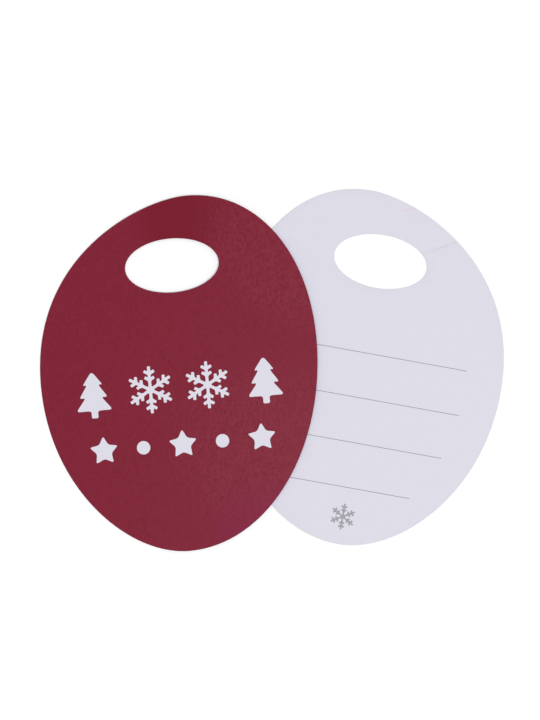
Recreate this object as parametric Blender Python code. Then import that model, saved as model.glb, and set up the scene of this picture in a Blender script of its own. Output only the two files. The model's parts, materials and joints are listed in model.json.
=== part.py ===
"""A pair of die-cut gift message cards fanned on a table, one printed side up and one writing side up.

Each card is an egg-shaped sheet of paperboard with an oval hang hole. A slit runs from the hole to the
card's edge, and the two lips beside it spring open to let a ribbon or a bag handle into the hole.
A card is drawn as seen from its printed front, from the middle of its width and height, with its back
face at height zero.
"""

import math

import bmesh
import bpy
from mathutils import Matrix, Vector
from mathutils.geometry import interpolate_bezier

MM = 0.001

# Card outline: its size, and the four points where it is highest, lowest and widest
CARD_WIDTH = 70.9 * MM
CARD_HEIGHT = 90.0 * MM
APEX_X = 5.7 * MM
FOOT_X = -1.5 * MM
RIGHT_BULGE_Y = 5.8 * MM
LEFT_BULGE_Y = 0.2 * MM

# How far the curve handles reach from those points along the outline
APEX_REACH_LEFT = 11.7 * MM
APEX_REACH_RIGHT = 17.5 * MM
RIGHT_REACH_UP = 22.8 * MM
RIGHT_REACH_DOWN = 27.1 * MM
FOOT_REACH_RIGHT = 20.8 * MM
FOOT_REACH_LEFT = 15.0 * MM
LEFT_REACH_DOWN = 27.1 * MM
LEFT_REACH_UP = 33.1 * MM
OUTLINE_STEPS = 40  # points on each quarter of the outline

# Hang hole, and the slit that opens it to the card's edge
HOLE_LENGTH = 23.9 * MM
HOLE_HEIGHT = 13.7 * MM
HOLE_X = 0.5 * MM
HOLE_TOP_MARGIN = 10.5 * MM  # board between the hole and the card's highest point
HOLE_STEPS = 96
SLIT_RISE = math.radians(29.4)  # up and to the left
SLIT_DROP = 1.9 * MM  # from the hole's centre down to the slit's line
SLIT_KERF = 0.1 * MM

# The lips bend along the hole's short axis (upper) and its long axis (lower)
FLEX_GAP = 0.3 * MM

# Sheet and print
BOARD_THICKNESS = 0.4 * MM
INK_FILM = 0.05 * MM
INK_GAP = 0.02 * MM

# White motifs that the front print leaves bare, in two rows between the hole and the foot
LARGE_MOTIF = 12.0 * MM
SMALL_MOTIF = 7.6 * MM
ROW_GAP = 4.7 * MM
ROWS_RISE = 2.6 * MM  # of the two rows' middle above the middle of that space
ROW_SIDE_MARGIN = 5.0 * MM
MOTIF_SPACING = 1.5 * MM  # least space between neighbours

# Writing rules and grey ornament on the back
RULE_COUNT = 4
RULE_WIDTH = 0.12 * MM
RULE_LONGEST = 53.0 * MM
RULE_SIDE_MARGIN = 8.5 * MM
FIRST_RULE_DROP = 16.7 * MM  # below the hole
LAST_RULE_RISE = 14.6 * MM  # above the foot
IMPRINT_SIZE = 6.6 * MM
IMPRINT_RISE = 7.1 * MM  # above the foot

# How the pair lies: the face-up card leans on the edge of the face-down one
FAN_SPREAD = 46.7 * MM
FAN_RISE = 1.3 * MM
FACE_UP_TURN = math.radians(5.1)
FACE_DOWN_TURN = math.radians(-10.2)
CARD_GAP = 0.3 * MM

# Motif drawings, in half motif sizes from the middle: the right side of a fir from its tip down, the
# waist of a star, a dot's radius, and one arm of a snowflake with the pairs of twigs on it
FIR_SIDE = ((0, 1), (0.42, 0.42), (0.24, 0.42), (0.6, -0.12), (0.34, -0.12), (0.78, -0.68),
            (0.14, -0.68), (0.14, -1))
STAR_POINTS = 5
STAR_WAIST = 0.52
DOT_RADIUS = 0.45
DOT_STEPS = 40
FLAKE_ARMS = 6
FLAKE_HALF_STROKE = 0.065
FLAKE_TWIGS = ((0.38, 0.2), (0.64, 0.22))  # where on the arm a pair starts, and how long its twigs are
CORNER_SHARE = 0.25  # of each side that a rounded corner takes
CORNER_STEPS = 5  # in a rounded corner of a fir or a star
FLAKE_CORNER_STEPS = 2

SMOOTH_BELOW = math.radians(35)  # edges that turn less than this are shaded smooth
CUT_TOLERANCE = 1e-8

APEX_Y = CARD_HEIGHT / 2
FOOT_Y = -CARD_HEIGHT / 2
HOLE_CENTRE = Vector((HOLE_X, APEX_Y - HOLE_TOP_MARGIN - HOLE_HEIGHT / 2))
HOLE_LOW_Y = HOLE_CENTRE.y - HOLE_HEIGHT / 2
HINGE_POINT = Vector((*HOLE_CENTRE, BOARD_THICKNESS / 2))
FRONT_FILM_Z = BOARD_THICKNESS + INK_GAP
FRONT_Z = FRONT_FILM_Z + INK_FILM
BACK_FILM_Z = -INK_GAP - INK_FILM

# Each lip's flex line, as the way from the lip across it, and the side of the slit that the lip is on
LIPS = {"upper_lip": (Vector((1, 0)), 1), "lower_lip": (Vector((0, -1)), -1)}


def egg_outline():
    """The card's edge, clockwise from its highest point."""
    apex = Vector((APEX_X, APEX_Y))
    right = Vector((CARD_WIDTH / 2, RIGHT_BULGE_Y))
    foot = Vector((FOOT_X, FOOT_Y))
    left = Vector((-CARD_WIDTH / 2, LEFT_BULGE_Y))
    quarters = (
        (apex, apex + Vector((APEX_REACH_RIGHT, 0)), right + Vector((0, RIGHT_REACH_UP)), right),
        (right, right - Vector((0, RIGHT_REACH_DOWN)), foot + Vector((FOOT_REACH_RIGHT, 0)), foot),
        (foot, foot - Vector((FOOT_REACH_LEFT, 0)), left - Vector((0, LEFT_REACH_DOWN)), left),
        (left, left + Vector((0, LEFT_REACH_UP)), apex - Vector((APEX_REACH_LEFT, 0)), apex),
    )
    points = []
    for quarter in quarters:
        points += interpolate_bezier(*quarter, OUTLINE_STEPS + 1)[:-1]
    return [point.to_2d() for point in points]


def oval(length, height, steps):
    angles = [math.tau * step / steps for step in range(steps)]
    return [Vector((length / 2 * math.cos(angle), height / 2 * math.sin(angle))) for angle in angles]


def softened(corners, steps):
    """The same closed drawing with its corners rounded off, each in this many steps."""
    points = []
    for before, corner, after in zip(corners[-1:] + corners[:-1], corners, corners[1:] + corners[:1]):
        start = corner.lerp(before, CORNER_SHARE)
        end = corner.lerp(after, CORNER_SHARE)
        for step in range(steps + 1):
            share = step / steps
            points.append(start.lerp(corner, share).lerp(corner.lerp(end, share), share))
    return points


def fir():
    right = [Vector(point) for point in FIR_SIDE]
    left = [Vector((-point.x, point.y)) for point in reversed(right[1:])]
    return softened(right + left, CORNER_STEPS)


def star():
    reaches = (1, STAR_WAIST) * STAR_POINTS
    turns = [math.tau * step / len(reaches) for step in range(len(reaches))]
    corners = [Vector((math.sin(turn), math.cos(turn))) * reach for turn, reach in zip(turns, reaches)]
    return softened(corners, CORNER_STEPS)


def dot():
    return oval(2 * DOT_RADIUS, 2 * DOT_RADIUS, DOT_STEPS)


def snowflake():
    """Arms with pairs of twigs on each; the twigs leave their arm at the angle between two arms."""
    angle = math.tau / FLAKE_ARMS
    stroke = 2 * FLAKE_HALF_STROKE
    along = Vector((math.sin(angle), math.cos(angle)))
    across = Vector((-math.cos(angle), math.sin(angle)))
    side = [Vector((FLAKE_HALF_STROKE, 1))]
    for start, length in reversed(FLAKE_TWIGS):
        root = Vector((FLAKE_HALF_STROKE, start))
        tip = root + along * length
        side += [root + Vector((0, stroke / math.sin(angle))), tip + across * stroke, tip, root]
    crotch = Vector((FLAKE_HALF_STROKE, FLAKE_HALF_STROKE / math.tan(angle / 2)))
    arm = [Vector((-point.x, point.y)) for point in reversed(side)] + side + [crotch]
    turns = [Matrix.Rotation(-angle * index, 2) for index in range(FLAKE_ARMS)]
    return softened([turn @ point for turn in turns for point in arm], FLAKE_CORNER_STEPS)


def drawn(motif, centre, size):
    return [centre + point * size / 2 for point in motif]


def span_at(outline, y):
    """Where a level line crosses the card's edge, left and right."""
    crossings = []
    for start, end in zip(outline, outline[1:] + outline[:1]):
        if (start.y > y) != (end.y > y):
            crossings.append(start.x + (end.x - start.x) * (y - start.y) / (end.y - start.y))
    return min(crossings), max(crossings)


def motif_row(outline, centre_y, size, motifs):
    """As many motifs as fit across the card at this height, taken in turn from the row's middle out."""
    ends = [span_at(outline, centre_y + reach) for reach in (-size / 2, size / 2)]
    left = max(end[0] for end in ends) + ROW_SIDE_MARGIN
    right = min(end[1] for end in ends) - ROW_SIDE_MARGIN
    count = int((right - left + MOTIF_SPACING) / (size + MOTIF_SPACING))
    cell = (right - left) / count
    loops = []
    for index in range(count):
        motif = motifs[int(abs(index - (count - 1) / 2)) % len(motifs)]
        loops.append(drawn(motif, Vector((left + cell * (index + 0.5), centre_y)), size))
    return loops


def motif_loops(outline):
    rows_height = LARGE_MOTIF + ROW_GAP + SMALL_MOTIF
    top = (HOLE_LOW_Y + FOOT_Y) / 2 + ROWS_RISE + rows_height / 2
    large_row = motif_row(outline, top - LARGE_MOTIF / 2, LARGE_MOTIF, (snowflake(), fir()))
    small_y = top - rows_height + SMALL_MOTIF / 2
    return large_row + motif_row(outline, small_y, SMALL_MOTIF, (star(), dot()))


def flat_shape(loops):
    """A flat face bounded by the first loop, with the other loops as holes."""
    shape = bmesh.new()
    for loop in loops:
        corners = [shape.verts.new((point.x, point.y, 0)) for point in loop]
        for start, end in zip(corners, corners[1:] + corners[:1]):
            shape.edges.new((start, end))
    bmesh.ops.triangle_fill(shape, edges=shape.edges[:], use_beauty=True)
    return shape


def cut_along(shape, point, normal, keep_behind=False):
    """Splits the flat shape along a straight line, and may drop what lies ahead of it."""
    bmesh.ops.bisect_plane(shape, geom=shape.verts[:] + shape.edges[:] + shape.faces[:], dist=CUT_TOLERANCE,
                           plane_co=point.to_3d(), plane_no=normal.to_3d(), clear_outer=keep_behind)


def main_sheet(loops):
    """The card without its lips: what lies left of the upper flex line and above the lower one is gone."""
    shape = flat_shape(loops)
    corner = HOLE_CENTRE + Vector((FLEX_GAP / 2, -FLEX_GAP / 2))
    cut_along(shape, corner, Vector((1, 0)))
    cut_along(shape, corner, Vector((0, 1)))
    middles = {face: face.calc_center_median() for face in shape.faces}
    lips = [face for face, middle in middles.items() if middle.x < corner.x and middle.y > corner.y]
    bmesh.ops.delete(shape, geom=lips, context="FACES")
    return shape


def lip_sheet(loops, across_flex, slit_side):
    """The part of the card between a flex line and the slit; slit_side is 1 above the slit, -1 below."""
    shape = flat_shape(loops)
    cut_along(shape, HOLE_CENTRE - across_flex * FLEX_GAP / 2, across_flex, keep_behind=True)
    above = Vector((math.sin(SLIT_RISE), math.cos(SLIT_RISE)))
    edge = HOLE_CENTRE - Vector((0, SLIT_DROP)) + above * slit_side * SLIT_KERF / 2
    cut_along(shape, edge, above * -slit_side, keep_behind=True)
    return shape


def plate(name, shape, bottom, thickness, material, origin=Vector((0, 0, 0))):
    """The flat shape as a solid from this height up, drawn from the origin given."""
    bmesh.ops.translate(shape, verts=shape.verts[:], vec=Vector((0, 0, bottom)) - origin)
    raised = bmesh.ops.extrude_face_region(shape, geom=shape.faces[:])["geom"]
    top = [item for item in raised if isinstance(item, bmesh.types.BMVert)]
    bmesh.ops.translate(shape, verts=top, vec=(0, 0, thickness))
    bmesh.ops.recalc_face_normals(shape, faces=shape.faces[:])
    mesh = bpy.data.meshes.new(name)
    shape.to_mesh(mesh)
    shape.free()
    mesh.shade_smooth()
    mesh.set_sharp_from_angle(angle=SMOOTH_BELOW)
    mesh.materials.append(material)
    return mesh


def rule_loop(outline, y):
    left, right = span_at(outline, y)
    left = max(left + RULE_SIDE_MARGIN, HOLE_X - RULE_LONGEST / 2)
    right = min(right - RULE_SIDE_MARGIN, HOLE_X + RULE_LONGEST / 2)
    low, high = y - RULE_WIDTH / 2, y + RULE_WIDTH / 2
    return [Vector(corner) for corner in ((left, low), (right, low), (right, high), (left, high))]


def finish(name, colour, roughness):
    material = bpy.data.materials.new(name)
    material.use_nodes = True
    shader = material.node_tree.nodes["Principled BSDF"]
    shader.inputs["Base Color"].default_value = (*colour, 1)
    shader.inputs["Roughness"].default_value = roughness
    shader.inputs["Metallic"].default_value = 0.0
    return material


def sheet_pieces(outline):
    """The board and its front print, each as a main sheet and two lips: (piece, its lip or None, mesh)."""
    board = finish("white_board", (0.73, 0.716, 0.80), 0.75)
    coat = finish("burgundy_print", (0.22, 0.024, 0.044), 0.5)
    hole = [HOLE_CENTRE + point for point in oval(HOLE_LENGTH, HOLE_HEIGHT, HOLE_STEPS)]
    bare = [outline, hole]
    printed = bare + motif_loops(outline)
    pieces = [
        ("board", None, plate("board", main_sheet(bare), 0, BOARD_THICKNESS, board)),
        ("front_print", None, plate("front_print", main_sheet(printed), FRONT_FILM_Z, INK_FILM, coat)),
    ]
    for lip, sides in LIPS.items():
        film = lip + "_print"
        pieces += [
            (lip, lip, plate(lip, lip_sheet(bare, *sides), 0, BOARD_THICKNESS, board, HINGE_POINT)),
            (film, lip, plate(film, lip_sheet(bare, *sides), FRONT_FILM_Z, INK_FILM, coat, HINGE_POINT)),
        ]
    return pieces


def back_print_pieces(outline):
    """The writing rules and the ornament under them: (piece, None, mesh)."""
    ink = finish("grey_ink", (0.34, 0.33, 0.36), 0.7)
    first_y = HOLE_LOW_Y - FIRST_RULE_DROP
    pitch = (first_y - FOOT_Y - LAST_RULE_RISE) / (RULE_COUNT - 1)
    shapes = {}
    for index in range(RULE_COUNT):
        shapes[f"rule_{index + 1}"] = [rule_loop(outline, first_y - pitch * index)]
    shapes["imprint"] = [drawn(snowflake(), Vector((FOOT_X, FOOT_Y + IMPRINT_RISE)), IMPRINT_SIZE)]
    return [(name, None, plate(name, flat_shape(loops), BACK_FILM_Z, INK_FILM, ink))
            for name, loops in shapes.items()]


def lying_places():
    """Where each card lies, with the pair's box centred on the origin and its lowest point at zero."""
    edge = [point.to_3d() for point in egg_outline()]
    face_down = (Matrix.Translation((FAN_SPREAD / 2, FAN_RISE / 2, FRONT_Z))
                 @ Matrix.Rotation(FACE_DOWN_TURN, 4, "Z") @ Matrix.Rotation(math.pi, 4, "Y"))
    turned = Matrix.Translation((-FAN_SPREAD / 2, -FAN_RISE / 2, 0)) @ Matrix.Rotation(FACE_UP_TURN, 4, "Z")
    step = FRONT_Z - BACK_FILM_Z + CARD_GAP
    run = min((face_down @ point).x for point in edge) - min((turned @ point).x for point in edge)
    face_up = Matrix.Rotation(-math.atan2(step, run), 4, "Y") @ turned
    face_up = Matrix.Translation((0, 0, -min((face_up @ point).z for point in edge))) @ face_up
    corners = [place @ point for place in (face_down, face_up) for point in edge]
    middle = [(min(c[axis] for c in corners) + max(c[axis] for c in corners)) / 2 for axis in (0, 1)]
    centred = Matrix.Translation((-middle[0], -middle[1], 0))
    return {"face_up": centred @ face_up, "face_down": centred @ face_down}


def empty_at(name, parent, place):
    empty = bpy.data.objects.new(name, None)
    empty.empty_display_size = CARD_HEIGHT / 10
    empty.parent = parent
    empty.matrix_local = place
    bpy.context.scene.collection.objects.link(empty)
    return empty


def main():
    for leftover in list(bpy.data.objects):
        bpy.data.objects.remove(leftover)
    outline = egg_outline()
    pieces = sheet_pieces(outline) + back_print_pieces(outline)
    for card, place in lying_places().items():
        carriers = {None: empty_at(card + "_card", None, place)}
        for lip in LIPS:
            flex_line = Matrix.Translation(HINGE_POINT)
            carriers[lip] = empty_at(f"{card}_{lip}_flex", carriers[None], flex_line)
        for piece, lip, mesh in pieces:
            node = bpy.data.objects.new(f"{card}_{piece}", mesh)
            node.parent = carriers[lip]
            bpy.context.scene.collection.objects.link(node)


main()
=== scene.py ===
import json
import math

import bmesh
import bpy
from mathutils import Matrix, Vector


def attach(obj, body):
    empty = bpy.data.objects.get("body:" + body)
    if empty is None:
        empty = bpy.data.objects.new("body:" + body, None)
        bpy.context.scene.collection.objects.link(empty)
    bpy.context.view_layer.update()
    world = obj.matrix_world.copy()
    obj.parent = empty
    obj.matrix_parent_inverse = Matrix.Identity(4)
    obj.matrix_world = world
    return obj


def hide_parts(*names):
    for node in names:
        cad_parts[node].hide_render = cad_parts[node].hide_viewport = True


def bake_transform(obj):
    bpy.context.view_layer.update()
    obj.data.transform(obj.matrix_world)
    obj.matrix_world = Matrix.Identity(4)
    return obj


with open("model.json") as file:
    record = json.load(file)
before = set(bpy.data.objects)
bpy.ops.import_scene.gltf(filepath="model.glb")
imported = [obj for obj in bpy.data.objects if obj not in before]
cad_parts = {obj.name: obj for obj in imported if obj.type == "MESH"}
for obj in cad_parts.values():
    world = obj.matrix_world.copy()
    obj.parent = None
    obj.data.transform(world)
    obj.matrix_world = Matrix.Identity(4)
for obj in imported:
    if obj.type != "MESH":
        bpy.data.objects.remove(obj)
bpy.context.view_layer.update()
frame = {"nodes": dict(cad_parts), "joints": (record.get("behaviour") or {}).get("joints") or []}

MM = 0.001

# Bends: how far along the sheet each lip's bend is spread, half to each side of its flex line
UPPER_BEND = 9.0 * MM
LOWER_BEND = 5.0 * MM
BEND_STRIP = 0.5 * MM
FLEX_REACH = 0.2 * MM  # the solids' gap along a flex line lies within this of the line
FLEX_JOIN = 0.5 * MM  # and outlines that end on either side of it are nearer than this

# Sheets
GRID = 5.0 * MM
EDGE_ROUND = 0.035 * MM
EDGE_SEGMENTS = 2
COAT_FILM = 0.012 * MM
INK_FILM = 0.008 * MM
FILM_SEAT = 0.003 * MM  # between the coat or the ink and the board under it
BOARD_SLIT = (0.001 * MM, 0.008 * MM)  # the cut's width at the hole and at the card's edge
COAT_SLIT = (0.001 * MM, 0.001 * MM)
WELD = 0.002 * MM
CUT_SNAP = WELD / 10
STRAIGHT = math.radians(0.3)
SMOOTH_BELOW = math.radians(30)
LEVEL = 0.9  # a face whose normal rises more than this is on the front or back of its sheet

# View: from straight above; the picture is 540 by 720 pixels, and its height sets the lens
PICTURE_HEIGHT = 183.05 * MM  # of the table seen in it
PICTURE_MIDDLE = Vector((-0.49, 2.56, 0.7)) * MM
LENS = 100.0
SENSOR = 36.0

# Light: an even sky, a large soft box overhead and a small one whose sheen shows on the coat's right
SKY_LEVEL = 0.57
SKY_SEEN = 1.0  # white, for the camera and in reflections
OVERHEAD_WATTS = 2.7
OVERHEAD_SIZE = 1.0
OVERHEAD_PLACE = Vector((0, 0, 1.1))
KEY_WATTS = 4.1
KEY_SIZE = 0.14
KEY_PLACE = Vector((0.21, -0.19, 1.2))

# Table
TABLE_REACH = 2.0  # from its middle to each side
TABLE_DROP = 0.02 * MM  # from the cards' lowest face down to the table
TABLE_ROUGHNESS = 0.9
TABLE_GLOW = 0.04  # what the camera sees of the white table by the cards over what its colour gives
TABLE_FAR_GLOW = 0.45  # and far off, where the lamps no longer reach
TABLE_NEAR = 0.15
TABLE_FAR = 1.2

# Coat: where on the card the burgundy is darker, where a painted sheen lightens it and where the ink
# has a purple cast, and how far from there
# the coat is darker above the hang hole
DARKER_ABOVE_HOLE = {"centre": Vector((3, 11, 0)) * MM, "length": 14 * MM, "width": 14 * MM}
# a painted sheen that lightens the coat right of the hang hole
PAINTED_SHEEN_BY_HOLE = {"centre": Vector((24, -2, 0)) * MM, "length": 28 * MM, "width": 14 * MM,
                    "turn": math.radians(-48)}
# a painted sheen that lightens the coat towards the foot
PAINTED_SHEEN_BY_FOOT = {"centre": Vector((19, -48, 0)) * MM, "length": 28 * MM, "width": 28 * MM}
PURPLE_INK = {"centre": Vector((17, -69, 0)) * MM, "length": 16 * MM, "width": 16 * MM}

# Wear, in from the card's edge: a faint crease where the upper lip has been bent, and along the slit
# the tinge of burgundy that the cutting die has carried over
CREASE = {"centre": Vector((-6.4, 15, 0)) * MM, "length": 6 * MM, "width": 0.5 * MM,
          "turn": math.radians(-22)}
SLIT_TINGE = {"centre": Vector((-17.9, 8.2, 0)) * MM, "length": 9 * MM, "width": 0.3 * MM,
              "turn": math.radians(-29.4)}
SPOT_CORE = 0.4  # share of such a place's reach over which it is at its full strength

# Colours, in linear light
WHITE = (1, 1, 1, 1)
BOARD_SHADE = (0.706, 0.690, 0.774, 1)
BOARD_LIGHT = (0.726, 0.710, 0.795, 1)
BOARD_FIBRE = (0.60, 0.585, 0.66, 1)
BOARD_FLECK = (0.56, 0.545, 0.62, 1)
BOARD_CLOUD = (0.735, 0.712, 0.79, 1)
CREASE_PINK = (0.67, 0.39, 0.45, 1)
TINGE_PINK = (0.72, 0.40, 0.46, 1)
PLY_SHADE = (0.62, 0.60, 0.66, 1)
PLY_LIGHT = (0.72, 0.70, 0.77, 1)
BURGUNDY_SHADE = (0.168, 0.0044, 0.0190, 1)
BURGUNDY_LIGHT = (0.185, 0.0059, 0.0236, 1)
BURGUNDY_MOTTLE = (0.26, 0.03, 0.05, 1)
BURGUNDY_GRAIN = (0.245, 0.0165, 0.0410, 1)
BURGUNDY_CLOUD = (0.20, 0.008, 0.034, 1)
BURGUNDY_DARKER = (0.175, 0.0037, 0.0178, 1)
BURGUNDY_PURPLE = (0.205, 0.0070, 0.0400, 1)
# the coat's colour under the painted sheen
BURGUNDY_PAINTED_SHEEN = (0.228, 0.0220, 0.0450, 1)
RULE_GREY = (0.150, 0.132, 0.150, 1)
RULE_BROKEN = (0.270, 0.250, 0.280, 1)
IMPRINT_GREY = (0.322, 0.308, 0.343, 1)
IMPRINT_BROKEN = (0.520, 0.505, 0.560, 1)
TABLE_SHADE = (0.97, 0.97, 0.97, 1)
TABLE_LIGHT = (0.985, 0.985, 0.985, 1)

# Shader nodes: the sockets of a Mix node that mixes colours, and where most of a noise's values lie
MIX_SHARE, MIX_FIRST, MIX_SECOND = 0, 6, 7
MIX_RESULT = 2
NOISE_SPAN = (0.3, 0.7)
FULL_SPAN = (0, 1)

JOINTS = {joint["name"]: joint for joint in frame["joints"]}
CARDS = ("face_down", "face_up")
LIPS = ("upper_lip", "lower_lip")

# The three pieces of a card's board and of its coat, each with the node that it stands for
BOARD_LAYER = {"sheet": "board", "upper_lip_sheet": "upper_lip", "lower_lip_sheet": "lower_lip"}
COAT_LAYER = {"coat": "front_print", "upper_lip_coat": "upper_lip_print",
              "lower_lip_coat": "lower_lip_print"}

# Each lip's bend, from its flex line to where the bend ends on the lip
X_AXIS, Y_AXIS = Vector((1, 0, 0)), Vector((0, 1, 0))
BENDS = {"upper_lip": -X_AXIS * UPPER_BEND / 2, "lower_lip": Y_AXIS * LOWER_BEND / 2}


def card_place(card):
    """The card's own axes in the row frame. A card that lies face down has its flex axes turned round."""
    along_hole = Vector(JOINTS[card + "_lower_lip_flex"]["axis"])
    up_card = Vector(JOINTS[card + "_upper_lip_flex"]["axis"])
    if up_card.y < 0:
        along_hole.negate()
        up_card.negate()
    axes = Matrix((along_hole, up_card, along_hole.cross(up_card))).transposed().to_4x4()
    return Matrix.Translation(JOINTS[card + "_upper_lip_flex"]["pos_m"]) @ axes


# Finishes

def add(tree, kind, inputs, **settings):
    """A shader node with its settings made and its inputs filled from values or other nodes' outputs."""
    made = tree.nodes.new("ShaderNode" + kind)
    for setting, value in settings.items():
        setattr(made, setting, value)
    for socket, value in inputs.items():
        if isinstance(value, bpy.types.NodeSocket):
            tree.links.new(value, made.inputs[socket])
        else:
            made.inputs[socket].default_value = value
    return made


def mixed(tree, share, first, second):
    """The first colour with this share of the second in it."""
    colours = {MIX_SHARE: share, MIX_FIRST: first, MIX_SECOND: second}
    return add(tree, "Mix", colours, data_type="RGBA").outputs[MIX_RESULT]


def noise(tree, place, scale, detail=2.0, roughness=0.5):
    """A cloudy pattern with this many clouds to a metre."""
    made = add(tree, "TexNoise", {"Vector": place, "Scale": scale, "Detail": detail, "Roughness": roughness})
    return made.outputs["Fac"]


def combined(tree, operation, first, second):
    return add(tree, "Math", {0: first, 1: second}, operation=operation).outputs[0]


def spread(tree, value, onto, between=NOISE_SPAN):
    """The value, moved from between two limits onto two others and held within them."""
    limits = {"From Min": between[0], "From Max": between[1], "To Min": onto[0], "To Max": onto[1]}
    return add(tree, "MapRange", {"Value": value, **limits}).outputs["Result"]


def tinted(tree, colour, tint, pattern, most, between=NOISE_SPAN):
    """The colour with a tint over it where the pattern is high, by this share at most."""
    return mixed(tree, spread(tree, pattern, (0, most), between), colour, tint)


def sheet_place(tree, stretch=(1, 1, 1)):
    """Places on the card in its own axes, so that a pattern lies along the sheet and bends with it."""
    own = add(tree, "Attribute", {}, attribute_name="sheet").outputs["Vector"]
    return add(tree, "Mapping", {"Vector": own, "Scale": stretch}).outputs["Vector"]


def spot(tree, centre, length, width, turn=0.0):
    """1 at a place on the card, falling to 0 at this length and width from it."""
    own = add(tree, "Attribute", {}, attribute_name="sheet").outputs["Vector"]
    ellipse = {"Vector": own, "Location": centre, "Rotation": (0, 0, turn), "Scale": (length, width, 1)}
    place = add(tree, "Mapping", ellipse, vector_type="TEXTURE").outputs["Vector"]
    near = add(tree, "TexGradient", {"Vector": place}, gradient_type="SPHERICAL").outputs["Fac"]
    fall = {"Value": near, "From Max": 1 - SPOT_CORE}
    return add(tree, "MapRange", fall, interpolation_type="SMOOTHSTEP").outputs["Result"]


def raised(tree, height, strength, depth):
    made = add(tree, "Bump", {"Height": height, "Strength": strength, "Distance": depth})
    return made.outputs["Normal"]


def finish(name, specular):
    material = bpy.data.materials.new(name)
    material.use_nodes = True
    shader = material.node_tree.nodes["Principled BSDF"]
    shader.inputs["Specular IOR Level"].default_value = specular
    return material, material.node_tree, shader


def fill(tree, shader, colour, roughness, normal):
    tree.links.new(colour, shader.inputs["Base Color"])
    tree.links.new(roughness, shader.inputs["Roughness"])
    tree.links.new(normal, shader.inputs["Normal"])


def white_board():
    """Smooth uncoated board: a lilac white with felted fibres hardly darker than the rest, a crease in
    from the card's edge and a tinge of burgundy along the slit."""
    material, tree, shader = finish("white_board", specular=0.3)
    fibres = noise(tree, sheet_place(tree, stretch=(1, 0.35, 1)), scale=1900, detail=4, roughness=0.6)
    felt = noise(tree, sheet_place(tree), scale=420, detail=5, roughness=0.65)
    grain = noise(tree, sheet_place(tree, stretch=(1, 0.5, 1)), scale=7500, detail=3, roughness=0.6)
    drift = noise(tree, sheet_place(tree), scale=30)
    colour = mixed(tree, spread(tree, felt, FULL_SPAN), BOARD_SHADE, BOARD_LIGHT)
    colour = tinted(tree, colour, BOARD_FIBRE, fibres, most=0.025, between=(0.25, 0.75))
    colour = tinted(tree, colour, BOARD_FLECK, grain, most=0.15, between=(0.5, 0.8))
    colour = tinted(tree, colour, BOARD_CLOUD, drift, most=0.06)
    colour = tinted(tree, colour, CREASE_PINK, spot(tree, **CREASE), most=0.16, between=FULL_SPAN)
    colour = tinted(tree, colour, TINGE_PINK, spot(tree, **SLIT_TINGE), most=0.10, between=FULL_SPAN)
    rough = spread(tree, felt, (0.62, 0.78))
    height = mixed(tree, 0.5, fibres, grain)
    fill(tree, shader, colour, rough, raised(tree, height, strength=0.35, depth=0.02 * MM))
    return material


def cut_edge():
    """The die-cut side of the board, where its plies show as faint lines."""
    material, tree, shader = finish("cut_edge", specular=0.2)
    plies = noise(tree, sheet_place(tree, stretch=(0.25, 0.25, 6)), scale=3000, detail=3, roughness=0.6)
    crumbs = noise(tree, sheet_place(tree), scale=2600, detail=4, roughness=0.7)
    colour = mixed(tree, spread(tree, plies, FULL_SPAN), PLY_SHADE, PLY_LIGHT)
    rough = spread(tree, crumbs, (0.8, 0.95))
    fill(tree, shader, colour, rough, raised(tree, crumbs, strength=0.5, depth=0.03 * MM))
    return material


def burgundy_coat():
    """Solid offset print, satin: mottled by the board under it, whose fine grain breaks up the sheen. A
    painted sheen, broken up by that grain, lightens the colour right of the hang hole and towards the foot.
    The coat is darker above the hang hole, and the ink purplish near the foot."""
    material, tree, shader = finish("burgundy_coat", specular=0.09)
    fibres = noise(tree, sheet_place(tree, stretch=(1, 0.4, 1)), scale=1500, detail=3, roughness=0.6)
    mottle = noise(tree, sheet_place(tree), scale=600, detail=4, roughness=0.65)
    drift = noise(tree, sheet_place(tree), scale=90, detail=3)
    grain = noise(tree, sheet_place(tree, stretch=(1, 0.6, 1)), scale=1900, detail=6, roughness=0.65)
    # painted sheen: the coat lighter right of the hang hole and towards the foot, broken up by the grain
    painted_sheen = combined(tree, "MAXIMUM", spot(tree, **PAINTED_SHEEN_BY_HOLE), spot(tree, **PAINTED_SHEEN_BY_FOOT))
    painted_sheen_grain = combined(tree, "MULTIPLY", painted_sheen, spread(tree, grain, (0, 0.6), between=(0.42, 0.58)))
    ink = spread(tree, fibres, FULL_SPAN, between=(0.28, 0.72))
    colour = mixed(tree, ink, BURGUNDY_SHADE, BURGUNDY_LIGHT)
    colour = tinted(tree, colour, BURGUNDY_MOTTLE, mottle, most=0.10, between=(0.4, 0.75))
    colour = tinted(tree, colour, BURGUNDY_GRAIN, grain, most=0.6)
    colour = tinted(tree, colour, BURGUNDY_CLOUD, drift, most=0.3, between=(0.4, 0.7))
    # darker above the hang hole
    colour = mixed(tree, spot(tree, **DARKER_ABOVE_HOLE), colour, BURGUNDY_DARKER)
    colour = mixed(tree, spot(tree, **PURPLE_INK), colour, BURGUNDY_PURPLE)
    colour = mixed(tree, painted_sheen_grain, colour, BURGUNDY_PAINTED_SHEEN)
    rough = spread(tree, grain, (0.3, 0.4))
    fill(tree, shader, colour, rough, raised(tree, grain, strength=1.0, depth=0.015 * MM))
    return material


def grey_ink(name, full, broken):
    """Thin grey print that the board's fibres break up a little."""
    material, tree, shader = finish(name, specular=0.2)
    breaks = noise(tree, sheet_place(tree), scale=5200, detail=3, roughness=0.65)
    colour = tinted(tree, full, broken, breaks, most=0.5, between=(0.35, 0.75))
    rough = spread(tree, breaks, (0.55, 0.75))
    fill(tree, shader, colour, rough, raised(tree, breaks, strength=0.3, depth=0.01 * MM))
    return material


# Sheets that bend

def remove(shape, geometry, context):
    bmesh.ops.delete(shape, geom=geometry, context=context)


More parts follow.
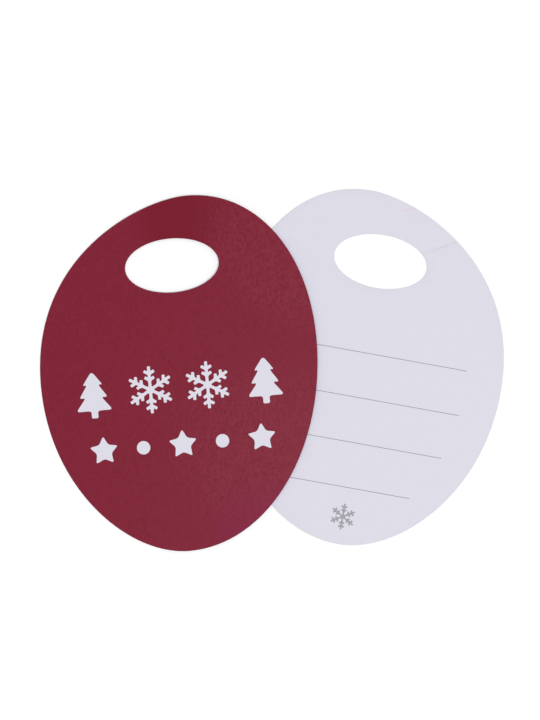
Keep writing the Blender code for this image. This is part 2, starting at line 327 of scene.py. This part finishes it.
def on_flex_line(edge):
    """True for an edge of the solids along the gap where a lip bends."""
    start, end = (corner.co for corner in edge.verts)
    upper = abs(start.x - end.x) < WELD and abs(start.x) < FLEX_REACH and start.y > 0
    lower = abs(start.y - end.y) < WELD and abs(start.y) < FLEX_REACH and start.x < 0
    return upper or lower


def close_slit(drawing, widths):
    """Brings the two sides of the slit, the drawing's longest edges, together to a cut that hardly shows."""
    one_side, other_side = sorted(drawing.edges, key=lambda edge: edge.calc_length())[-2:]
    from_hole = sorted(one_side.verts, key=lambda end: end.co.length)
    for corner, width in zip(from_hole, widths):
        facing = min(other_side.verts, key=lambda end: (end.co - corner.co).length)
        middle = (corner.co + facing.co) / 2
        half = (corner.co - facing.co).normalized() * width / 2
        corner.co, facing.co = middle + half, middle - half


def front_drawing(card, nodes, slit):
    """The front edges of a layer's three solids as one flat drawing at height zero, joined where the sheet
    only bends, and how low and high the layer lies on its card."""
    drawing = bmesh.new()
    for node in nodes:
        drawing.from_mesh(frame["nodes"][f"{card}_{node}"].data)
    bmesh.ops.transform(drawing, matrix=card_place(card).inverted(), verts=drawing.verts[:])
    bmesh.ops.remove_doubles(drawing, verts=drawing.verts[:], dist=WELD)
    heights = [corner.co.z for corner in drawing.verts]
    back, front = min(heights), max(heights)
    remove(drawing, [corner for corner in drawing.verts if corner.co.z < (back + front) / 2], "VERTS")
    inner = [edge for edge in drawing.edges if len(edge.link_faces) == 2]
    flex = [edge for edge in drawing.edges if len(edge.link_faces) == 1 and on_flex_line(edge)]
    remove(drawing, drawing.faces[:], "FACES_ONLY")
    remove(drawing, inner + flex, "EDGES")
    remove(drawing, [corner for corner in drawing.verts if not corner.link_edges], "VERTS")
    ends = [corner for corner in drawing.verts if len(corner.link_edges) == 1]
    bmesh.ops.remove_doubles(drawing, verts=ends, dist=FLEX_JOIN)
    straight = [corner for corner in drawing.verts if corner.calc_edge_angle(math.pi) < STRAIGHT]
    bmesh.ops.dissolve_verts(drawing, verts=straight)
    close_slit(drawing, slit)
    bmesh.ops.translate(drawing, verts=drawing.verts[:], vec=(0, 0, -front))
    return drawing, back, front


def cut_line(shape, direction, distance):
    """Cuts the shape across this direction, at this distance from the card's own origin."""
    bmesh.ops.bisect_plane(shape, geom=shape.verts[:] + shape.edges[:] + shape.faces[:], dist=CUT_SNAP,
                           plane_co=direction * distance, plane_no=direction)


def on_seam(edge):
    """True for an edge where a lip's bend begins, on its card's side."""
    start, end = (corner.co for corner in edge.verts)
    upper = all(abs(point.x - UPPER_BEND / 2) < WELD and point.y > 0 for point in (start, end))
    lower = all(abs(point.y + LOWER_BEND / 2) < WELD and point.x < 0 for point in (start, end))
    return upper or lower


def islands(shape):
    """Groups of faces that hang together, the largest first."""
    left = set(shape.faces)
    groups = []
    while left:
        group = [left.pop()]
        for face in group:
            near = {other for edge in face.edges for other in edge.link_faces} & left
            left -= near
            group += near
        groups.append(group)
    return sorted(groups, key=lambda group: -sum(face.calc_area() for face in group))


def split_at_seams(drawing):
    """Fills the drawing and parts it into the panel, the upper lip and the lower lip, each by itself."""
    bmesh.ops.triangle_fill(drawing, use_beauty=True, use_dissolve=True, edges=drawing.edges[:])
    cut_line(drawing, X_AXIS, UPPER_BEND / 2)
    cut_line(drawing, Y_AXIS, -LOWER_BEND / 2)
    bmesh.ops.split_edges(drawing, edges=[edge for edge in drawing.edges if on_seam(edge)])
    parts = []
    for index in range(1 + len(LIPS)):
        part = drawing.copy()
        groups = islands(part)
        remove(part, [face for group in groups if group is not groups[index] for face in group], "FACES")
        parts.append(part)
    drawing.free()
    return parts


def thicken(part, back, front):
    """Lifts the flat part to its front and gives it its thickness, from there back."""
    bmesh.ops.dissolve_limit(part, angle_limit=STRAIGHT, verts=[], edges=part.edges[:])
    bmesh.ops.translate(part, verts=part.verts[:], vec=(0, 0, front))
    lowered = bmesh.ops.extrude_face_region(part, geom=part.faces[:])["geom"]
    corners = [item for item in lowered if isinstance(item, bmesh.types.BMVert)]
    bmesh.ops.translate(part, verts=corners, vec=(0, 0, back - front))
    bmesh.ops.recalc_face_normals(part, faces=part.faces[:])


def round_back_edge(part, back):
    """Rounds the edge that the cutting die has pressed over, but not where the sheet goes on."""
    rim = [edge for edge in part.edges
           if all(corner.co.z < back + WELD for corner in edge.verts) and not on_seam(edge)
           and any(abs(face.normal.z) < LEVEL for face in edge.link_faces)]
    bmesh.ops.bevel(part, geom=rim, affect="EDGES", offset=EDGE_ROUND, segments=EDGE_SEGMENTS, profile=0.5,
                    material=-1)


def grid_places(low, high, pitch):
    """The whole steps of this pitch that lie between two places."""
    return [pitch * step for step in range(math.ceil(low / pitch), math.floor(high / pitch) + 1)]


def cut_grid(part, bend):
    """Cuts the part into even squares, and its bend into narrow strips."""
    for direction in (X_AXIS, Y_AXIS):
        reach = [corner.co.dot(direction) for corner in part.verts]
        for place in grid_places(min(reach), max(reach), GRID):
            cut_line(part, direction, place)
    if bend:
        for step in grid_places(-bend.length, bend.length, BEND_STRIP):
            cut_line(part, bend.normalized(), step)


def middle(item):
    """Where a corner lies, or the middle of an edge's or a face's corners."""
    corners = [item] if isinstance(item, bmesh.types.BMVert) else item.verts
    return tuple(sum((corner.co for corner in corners), Vector()) / len(corners))


def put_in_order(part):
    """Sorts the part's mesh by place, because extruding leaves its sides in another order on each run."""
    for items in (part.verts, part.edges, part.faces):
        for index, item in enumerate(sorted(items, key=middle)):
            item.index = index
        items.sort()


def lay(name, part, place, finishes):
    """Makes the part a piece where its card lies, and keeps its places on the sheet for the finishes. Its
    sides take the last finish, its front and back the first."""
    put_in_order(part)
    own_place = part.verts.layers.float_vector.new("sheet")
    for corner in part.verts:
        corner[own_place] = corner.co
    for face in part.faces:
        face.material_index = 0 if abs(face.normal.z) > LEVEL else len(finishes) - 1
    bmesh.ops.transform(part, matrix=place, verts=part.verts[:])
    mesh = bpy.data.meshes.new(name)
    part.to_mesh(mesh)
    part.free()
    mesh.shade_smooth()
    mesh.set_sharp_from_angle(angle=SMOOTH_BELOW)
    for made in finishes:
        mesh.materials.append(made)
    piece = bpy.data.objects.new(name, mesh)
    bpy.context.scene.collection.objects.link(piece)
    return piece


def lay_layer(card, layer, parts, finishes):
    """One layer of a card, as a panel that rides on the card and two lips, whose bends are cut into narrow
    strips.
    """
    place = card_place(card)
    for (name, node), lip, part in zip(layer.items(), (None, *LIPS), parts):
        bend = BENDS.get(lip)
        cut_grid(part, bend)
        piece = lay(f"{card}_{name}", part, place, finishes)
        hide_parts(f"{card}_{node}")
        if lip:
            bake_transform(piece)
        else:
            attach(piece, card + "_card")


def lay_ink(card, name, back, ink):
    """A printed rule or ornament in its solid's outline, as a film that lies against the card's back."""
    place = card_place(card)
    film = bmesh.new()
    film.from_mesh(frame["nodes"][name].data)
    bmesh.ops.transform(film, matrix=place.inverted(), verts=film.verts[:])
    bmesh.ops.remove_doubles(film, verts=film.verts[:], dist=WELD)
    heights = [corner.co.z for corner in film.verts]
    low, high = min(heights), max(heights)
    bmesh.ops.translate(film, verts=film.verts[:], vec=(0, 0, -high))
    bmesh.ops.scale(film, verts=film.verts[:], vec=(1, 1, INK_FILM / (high - low)))
    bmesh.ops.translate(film, verts=film.verts[:], vec=(0, 0, back - FILM_SEAT))
    piece = lay(name + "_ink", film, place, (ink,))
    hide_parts(name)
    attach(piece, card + "_card")


def make_card(card, board, edge, coat, inks):
    """The board up to the coat's underside, on its front the coat as a fine film whose front is the solids',
    and on its back the grey print."""
    board_drawing, back, _ = front_drawing(card, BOARD_LAYER.values(), BOARD_SLIT)
    coat_drawing, _, front = front_drawing(card, COAT_LAYER.values(), COAT_SLIT)
    under_coat = front - COAT_FILM
    board_parts = split_at_seams(board_drawing)
    for part in board_parts:
        thicken(part, back, under_coat - FILM_SEAT)
        round_back_edge(part, back)
    coat_parts = split_at_seams(coat_drawing)
    for part in coat_parts:
        thicken(part, under_coat, front)
    lay_layer(card, BOARD_LAYER, board_parts, (board, edge))
    lay_layer(card, COAT_LAYER, coat_parts, (coat,))
    for kind, ink in inks.items():
        for name in frame["nodes"]:
            if name.startswith(f"{card}_{kind}"):
                lay_ink(card, name, back, ink)


def make_cards():
    board, edge, coat = white_board(), cut_edge(), burgundy_coat()
    inks = {"rule": grey_ink("rule_ink", RULE_GREY, RULE_BROKEN),
            "imprint": grey_ink("imprint_ink", IMPRINT_GREY, IMPRINT_BROKEN)}
    for card in CARDS:
        make_card(card, board, edge, coat, inks)


# Studio

def seen(tree):
    """1 for rays from the camera and for what it sees in reflections or through glass, otherwise 0."""
    rays = add(tree, "LightPath", {}).outputs
    either = combined(tree, "MAXIMUM", rays["Is Camera Ray"], rays["Is Glossy Ray"])
    return combined(tree, "MAXIMUM", either, rays["Is Transmission Ray"])


def table_white():
    """Matt white with hardly any cloud in it, which the camera sees a little lighter than it is lit."""
    material, tree, shader = finish("table_white", specular=0.1)
    own = add(tree, "TexCoord", {}).outputs["Object"]
    colour = mixed(tree, noise(tree, own, scale=6), TABLE_SHADE, TABLE_LIGHT)
    tree.links.new(colour, shader.inputs["Base Color"])
    shader.inputs["Roughness"].default_value = TABLE_ROUGHNESS
    shader.inputs["Emission Color"].default_value = WHITE
    away = add(tree, "VectorMath", {0: own}, operation="LENGTH").outputs["Value"]
    glow = spread(tree, away, (TABLE_GLOW, TABLE_FAR_GLOW), between=(TABLE_NEAR, TABLE_FAR))
    tree.links.new(combined(tree, "MULTIPLY", glow, seen(tree)), shader.inputs["Emission Strength"])
    return material


def table_top():
    shape = bmesh.new()
    bmesh.ops.create_grid(shape, x_segments=1, y_segments=1, size=TABLE_REACH,
                          matrix=Matrix.Translation((0, 0, -TABLE_DROP)))
    mesh = bpy.data.meshes.new("table_top")
    shape.to_mesh(mesh)
    shape.free()
    mesh.materials.append(table_white())
    top = bpy.data.objects.new("table_top", mesh)
    bpy.context.scene.collection.objects.link(top)


def sky():
    """Even light from all round; what the camera and reflections see of it is white."""
    world = bpy.data.worlds.new("studio")
    bpy.context.scene.world = world
    world.use_nodes = True
    tree = world.node_tree
    level = spread(tree, seen(tree), (SKY_LEVEL, SKY_SEEN), between=FULL_SPAN)
    tree.links.new(level, tree.nodes["Background"].inputs["Strength"])
    tree.nodes["Background"].inputs["Color"].default_value = WHITE


def soft_lamp(name, watts, size, place):
    """A square soft box aimed at the cards."""
    lamp = bpy.data.lights.new(name, "AREA")
    lamp.energy = watts
    lamp.size = size
    holder = bpy.data.objects.new(name, lamp)
    holder.location = place
    holder.rotation_euler = place.to_track_quat("Z", "Y").to_euler()
    bpy.context.scene.collection.objects.link(holder)


def camera():
    """Looks straight down, from where the lens takes in the picture's height."""
    made = bpy.data.cameras.new("camera")
    made.lens = LENS
    made.sensor_width = SENSOR
    holder = bpy.data.objects.new("camera", made)
    holder.location = PICTURE_MIDDLE + Vector((0, 0, PICTURE_HEIGHT * LENS / SENSOR))
    bpy.context.scene.collection.objects.link(holder)
    bpy.context.scene.camera = holder


make_cards()
table_top()
sky()
soft_lamp("overhead", OVERHEAD_WATTS, OVERHEAD_SIZE, OVERHEAD_PLACE)
soft_lamp("key", KEY_WATTS, KEY_SIZE, KEY_PLACE)
camera()
bpy.context.scene.view_settings.view_transform = "Standard"
